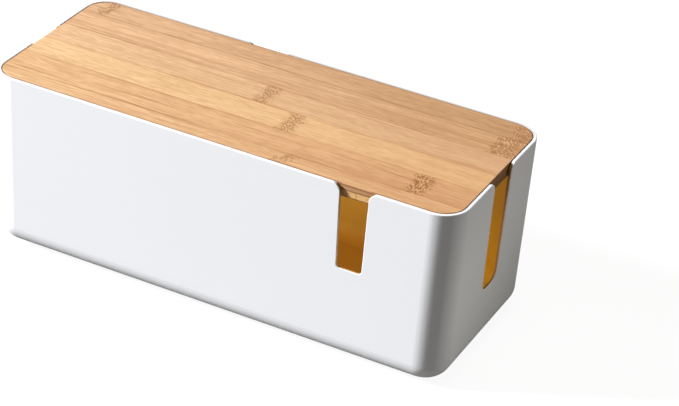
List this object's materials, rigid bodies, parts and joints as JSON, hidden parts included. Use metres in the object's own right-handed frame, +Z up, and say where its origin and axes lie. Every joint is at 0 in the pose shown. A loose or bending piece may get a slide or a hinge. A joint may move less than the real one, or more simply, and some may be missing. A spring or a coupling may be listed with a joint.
{
  "type": "cable management box",
  "caption": "Long rounded plastic box with a flush lift-off bamboo lid and open-topped cable slots in its walls, for hiding a power strip and its cables.",
  "frame": {"origin": "on the table (the feet's lower faces), under the middle of the box", "axes": "+Z up, +X along the box to its right-hand end, -Y out of the front wall"},
  "size_m": [0.3014, 0.1214, 0.1147],
  "materials": {
    "shell_plastic": "satin-matte moulded white",
    "foot_rubber": "matte, translucent grey",
    "bamboo_orange": "oiled bamboo, orange-tan",
    "bamboo_figured": "oiled bamboo, tan with dark figure",
    "bamboo_light": "oiled bamboo, light yellow",
    "bamboo_pink": "oiled bamboo, pinkish tan",
    "bamboo_tan": "oiled bamboo, reddish tan",
    "bamboo_lower": "oiled bamboo, pale"
  },
  "bodies": {
    "box": {"box_shell": "shell_plastic", "foot_front_left": "foot_rubber", "foot_front_right": "foot_rubber", "foot_back_left": "foot_rubber", "foot_back_right": "foot_rubber"},
    "lid": {"lid_upper_stave_1": "bamboo_orange", "lid_upper_stave_2": "bamboo_figured", "lid_upper_stave_3": "bamboo_light", "lid_upper_stave_4": "bamboo_pink", "lid_upper_stave_5": "bamboo_tan", "lid_upper_stave_6": "bamboo_tan", "lid_lower_stave_01": "bamboo_lower", "lid_lower_stave_02": "bamboo_lower", "lid_lower_stave_03": "bamboo_lower", "lid_lower_stave_04": "bamboo_lower", "lid_lower_stave_05": "bamboo_lower", "lid_lower_stave_06": "bamboo_lower", "lid_lower_stave_07": "bamboo_lower", "lid_lower_stave_08": "bamboo_lower", "lid_lower_stave_09": "bamboo_lower", "lid_lower_stave_10": "bamboo_lower", "lid_lower_stave_11": "bamboo_lower", "lid_lower_stave_12": "bamboo_lower", "lid_lower_stave_13": "bamboo_lower"}
  },
  "joints": [
    {"name": "lid_lift", "type": "slide", "parent": "box", "child": "lid", "axis": [0, 0, 1], "range_m": [0, 0.12]}
  ]
}
